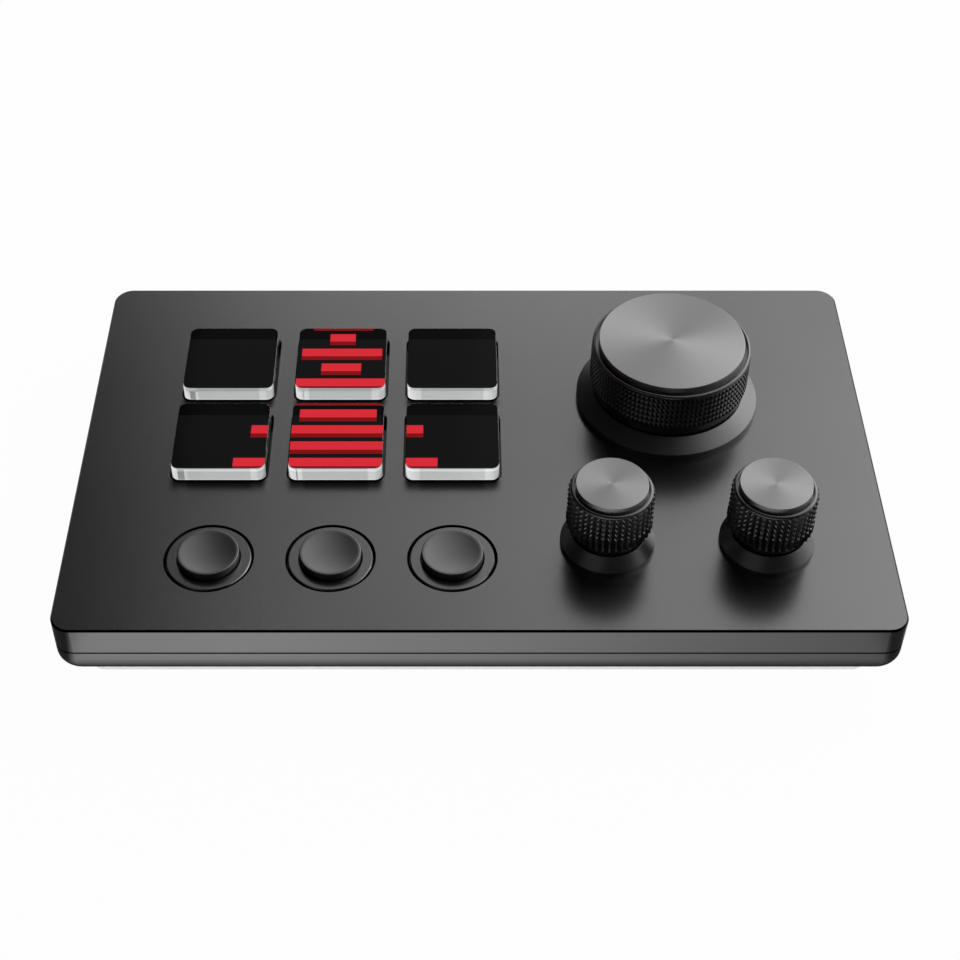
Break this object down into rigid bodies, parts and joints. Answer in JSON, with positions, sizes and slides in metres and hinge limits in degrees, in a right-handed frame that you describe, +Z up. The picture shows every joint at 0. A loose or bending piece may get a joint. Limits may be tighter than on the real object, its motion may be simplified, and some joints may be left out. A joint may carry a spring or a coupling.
{
  "type": "macro keypad with knobs",
  "caption": "Low desktop control pad with clear display keys in two rows, dished round buttons, and one large and two small knurled knobs that turn and press.",
  "frame": {"origin": "on the desk, under the middle of the case", "axes": "+X to the user's right along the long side, +Y away from the user towards the socket, +Z up out of the plate"},
  "size_m": [0.13, 0.0806, 0.0273],
  "materials": {
    "case_metal": "satin black coat on a machined case",
    "pad_rubber": "matt light grey",
    "zinc_steel": "plated, satin",
    "board_laminate": "dark green solder resist",
    "inner_plastic": "moulded, matt",
    "display_glass": null,
    "silicone": "matt dark grey",
    "chip_plastic": "moulded, matt",
    "clear_plastic": "clear moulded block, polished",
    "cap_plastic": "satin black, dished",
    "brass_rod": "turned",
    "knob_metal": "satin black coat, knurled on the grip band",
    "turned_metal": "spun dark finish with a bevelled edge"
  },
  "bodies": {
    "housing": {"top_shell": "case_metal", "bottom_shell": "case_metal", "base_pad": "pad_rubber", "case_screws": "zinc_steel", "main_board": "board_laminate", "board_screws": "zinc_steel", "display_frame": "inner_plastic", "display_panel": "display_glass", "key_membrane": "silicone", "usb_socket": "zinc_steel", "controller_chip": "chip_plastic", "display_connector": "chip_plastic", "key_spring_1": "silicone", "key_spring_2": "silicone", "key_spring_3": "silicone", "key_spring_4": "silicone", "key_spring_5": "silicone", "key_spring_6": "silicone", "button_ring_1": "case_metal", "button_switch_1": "chip_plastic", "button_ring_2": "case_metal", "button_switch_2": "chip_plastic", "button_ring_3": "case_metal", "button_switch_3": "chip_plastic", "large_encoder": "zinc_steel", "large_nut": "brass_rod", "large_collar": "knob_metal", "small_left_encoder": "zinc_steel", "small_left_nut": "brass_rod", "small_left_collar": "knob_metal", "small_right_encoder": "zinc_steel", "small_right_nut": "brass_rod", "small_right_collar": "knob_metal"},
    "key_1": {"display_key_1": "clear_plastic"},
    "key_2": {"display_key_2": "clear_plastic"},
    "key_3": {"display_key_3": "clear_plastic"},
    "key_4": {"display_key_4": "clear_plastic"},
    "key_5": {"display_key_5": "clear_plastic"},
    "key_6": {"display_key_6": "clear_plastic"},
    "button_1": {"round_button_1": "cap_plastic", "switch_plunger_1": "chip_plastic"},
    "button_2": {"round_button_2": "cap_plastic", "switch_plunger_2": "chip_plastic"},
    "button_3": {"round_button_3": "cap_plastic", "switch_plunger_3": "chip_plastic"},
    "large_click_wheel": {"large_rotor": "chip_plastic"},
    "large_dial": {"large_shaft": "brass_rod", "large_knob": "knob_metal", "large_knob_cap": "turned_metal"},
    "small_left_click_wheel": {"small_left_rotor": "chip_plastic"},
    "small_left_dial": {"small_left_shaft": "brass_rod", "small_left_knob": "knob_metal", "small_left_knob_cap": "turned_metal"},
    "small_right_click_wheel": {"small_right_rotor": "chip_plastic"},
    "small_right_dial": {"small_right_shaft": "brass_rod", "small_right_knob": "knob_metal", "small_right_knob_cap": "turned_metal"}
  },
  "joints": [
    {"name": "key_1_press", "type": "slide", "parent": "housing", "child": "key_1", "axis": [0, 0, -1], "range_m": [0, 0.0009], "stiffness_N_per_m": 600, "springref_m": -0.0005, "deforming": ["key_spring_1"]},
    {"name": "key_2_press", "type": "slide", "parent": "housing", "child": "key_2", "axis": [0, 0, -1], "range_m": [0, 0.0009], "stiffness_N_per_m": 600, "springref_m": -0.0005, "deforming": ["key_spring_2"]},
    {"name": "key_3_press", "type": "slide", "parent": "housing", "child": "key_3", "axis": [0, 0, -1], "range_m": [0, 0.0009], "stiffness_N_per_m": 600, "springref_m": -0.0005, "deforming": ["key_spring_3"]},
    {"name": "key_4_press", "type": "slide", "parent": "housing", "child": "key_4", "axis": [0, 0, -1], "range_m": [0, 0.0009], "stiffness_N_per_m": 600, "springref_m": -0.0005, "deforming": ["key_spring_4"]},
    {"name": "key_5_press", "type": "slide", "parent": "housing", "child": "key_5", "axis": [0, 0, -1], "range_m": [0, 0.0009], "stiffness_N_per_m": 600, "springref_m": -0.0005, "deforming": ["key_spring_5"]},
    {"name": "key_6_press", "type": "slide", "parent": "housing", "child": "key_6", "axis": [0, 0, -1], "range_m": [0, 0.0009], "stiffness_N_per_m": 600, "springref_m": -0.0005, "deforming": ["key_spring_6"]},
    {"name": "button_1_press", "type": "slide", "parent": "housing", "child": "button_1", "axis": [0, 0, -1], "range_m": [0, 0.0006], "stiffness_N_per_m": 1500, "springref_m": -0.0003},
    {"name": "button_2_press", "type": "slide", "parent": "housing", "child": "button_2", "axis": [0, 0, -1], "range_m": [0, 0.0006], "stiffness_N_per_m": 1500, "springref_m": -0.0003},
    {"name": "button_3_press", "type": "slide", "parent": "housing", "child": "button_3", "axis": [0, 0, -1], "range_m": [0, 0.0006], "stiffness_N_per_m": 1500, "springref_m": -0.0003},
    {"name": "large_turn", "type": "hinge", "parent": "housing", "child": "large_click_wheel", "pos_m": [0.0322, 0.0113, 0.0142], "axis": [0, 0, 1], "continuous": true},
    {"name": "large_push", "type": "slide", "parent": "large_click_wheel", "child": "large_dial", "axis": [0, 0, -1], "range_m": [0, 0.0005], "stiffness_N_per_m": 4000, "springref_m": -0.0003},
    {"name": "small_left_turn", "type": "hinge", "parent": "housing", "child": "small_left_click_wheel", "pos_m": [0.02025, -0.022, 0.0142], "axis": [0, 0, 1], "continuous": true},
    {"name": "small_left_push", "type": "slide", "parent": "small_left_click_wheel", "child": "small_left_dial", "axis": [0, 0, -1], "range_m": [0, 0.0005], "stiffness_N_per_m": 4000, "springref_m": -0.0003},
    {"name": "small_right_turn", "type": "hinge", "parent": "housing", "child": "small_right_click_wheel", "pos_m": [0.04525, -0.022, 0.0142], "axis": [0, 0, 1], "continuous": true},
    {"name": "small_right_push", "type": "slide", "parent": "small_right_click_wheel", "child": "small_right_dial", "axis": [0, 0, -1], "range_m": [0, 0.0005], "stiffness_N_per_m": 4000, "springref_m": -0.0003}
  ]
}
